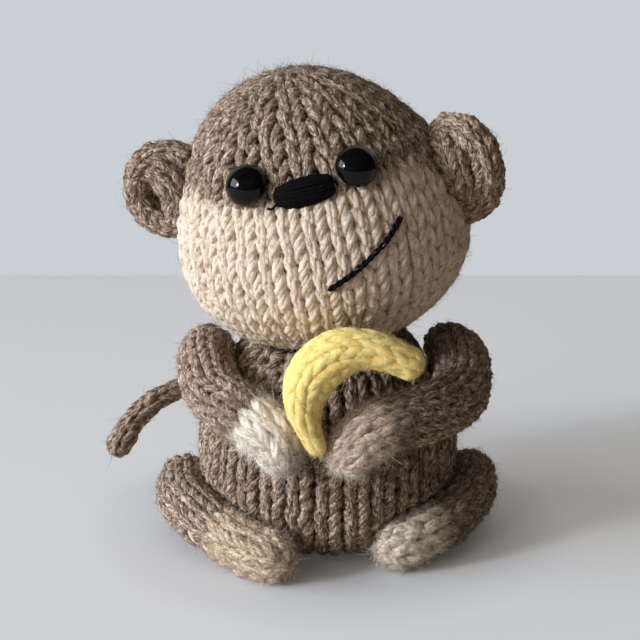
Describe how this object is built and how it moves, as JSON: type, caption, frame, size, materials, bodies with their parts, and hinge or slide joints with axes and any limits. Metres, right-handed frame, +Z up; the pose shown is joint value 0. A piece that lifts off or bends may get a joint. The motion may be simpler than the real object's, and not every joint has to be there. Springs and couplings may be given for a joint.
{
  "type": "stuffed monkey doll",
  "caption": "Hand knitted stuffed monkey doll that sits with bent arms round its chest, holding a knitted banana between its paws; round head with glossy safety eyes, ears, tail",
  "frame": {"origin": "Centre of the flat patch under the body, at the level of the surface that the doll sits on.", "axes": "+Z up, the doll faces -Y and its own left side is at +X."},
  "size_m": [0.0942, 0.0789, 0.1097],
  "materials": {
    "body_yarn": "heathered brown knitted yarn",
    "crown_yarn": "heathered brown knitted yarn",
    "ear_yarn": "heathered brown knitted yarn",
    "limb_yarn": "heathered brown knitted yarn",
    "face_yarn": "cream and tan knitted yarn",
    "foot_yarn": "cream and tan knitted yarn",
    "paw_yarn": "pale cream knitted yarn",
    "banana_yarn": "yellow knitted yarn",
    "black_yarn": "black stranded thread",
    "eye_plastic": "glossy black",
    "washer_plastic": "white plastic washer",
    "stuffing": "white fibre filling"
  },
  "bodies": {
    "torso": {"body_cover": "body_yarn", "body_stuffing": "stuffing"},
    "head": {"head_crown": "crown_yarn", "head_face": "face_yarn", "head_stuffing": "stuffing", "eye_right": "eye_plastic", "eye_left": "eye_plastic", "eye_washer_right": "washer_plastic", "eye_washer_left": "washer_plastic", "nose": "black_yarn", "mouth": "black_yarn", "ear_right": "ear_yarn", "ear_left": "ear_yarn"},
    "right_arm": {"arm_sleeve_right": "limb_yarn", "arm_paw_right": "paw_yarn", "arm_stuffing_right": "stuffing"},
    "left_arm": {"arm_sleeve_left": "limb_yarn", "arm_paw_left": "paw_yarn", "arm_stuffing_left": "stuffing"},
    "right_leg": {"leg_right": "limb_yarn", "foot_right": "foot_yarn", "leg_stuffing_right": "stuffing"},
    "left_leg": {"leg_left": "limb_yarn", "foot_left": "foot_yarn", "leg_stuffing_left": "stuffing"},
    "tail_curl": {"tail": "limb_yarn"},
    "held_banana": {"banana": "banana_yarn"}
  },
  "joints": [
    {"name": "head_turn", "type": "hinge", "parent": "torso", "child": "head", "pos_m": [-0.00093, -0.002, 0.07214], "axis": [-0.165, 0, 0.9863], "range_deg": [-20, 20], "stiffness_Nm_per_rad": 0.03},
    {"name": "right_arm_swing", "type": "hinge", "parent": "torso", "child": "right_arm", "pos_m": [-0.02746, 0.00096, 0.0436], "axis": [0, 0, -1], "range_deg": [0, 40], "stiffness_Nm_per_rad": 0.003},
    {"name": "left_arm_swing", "type": "hinge", "parent": "torso", "child": "left_arm", "pos_m": [0.02804, 0.00245, 0.0436], "axis": [0, 0, 1], "range_deg": [0, 40], "stiffness_Nm_per_rad": 0.003},
    {"name": "right_leg_splay", "type": "hinge", "parent": "torso", "child": "right_leg", "pos_m": [-0.0335, 0.00117, 0.01098], "axis": [0, 0, -1], "range_deg": [0, 30], "stiffness_Nm_per_rad": 0.003},
    {"name": "left_leg_splay", "type": "hinge", "parent": "torso", "child": "left_leg", "pos_m": [0.03379, 0.00475, 0.01098], "axis": [0, 0, 1], "range_deg": [0, 30], "stiffness_Nm_per_rad": 0.003},
    {"name": "tail_wag", "type": "hinge", "parent": "torso", "child": "tail_curl", "pos_m": [-0.01094, 0.03006, 0.02052], "axis": [0, 0, 1], "range_deg": [-30, 15], "stiffness_Nm_per_rad": 0.0008},
    {"name": "banana_pull", "type": "slide", "parent": "left_arm", "child": "held_banana", "axis": [0, -0.866, 0.5], "range_m": [0, 0.03]}
  ]
}
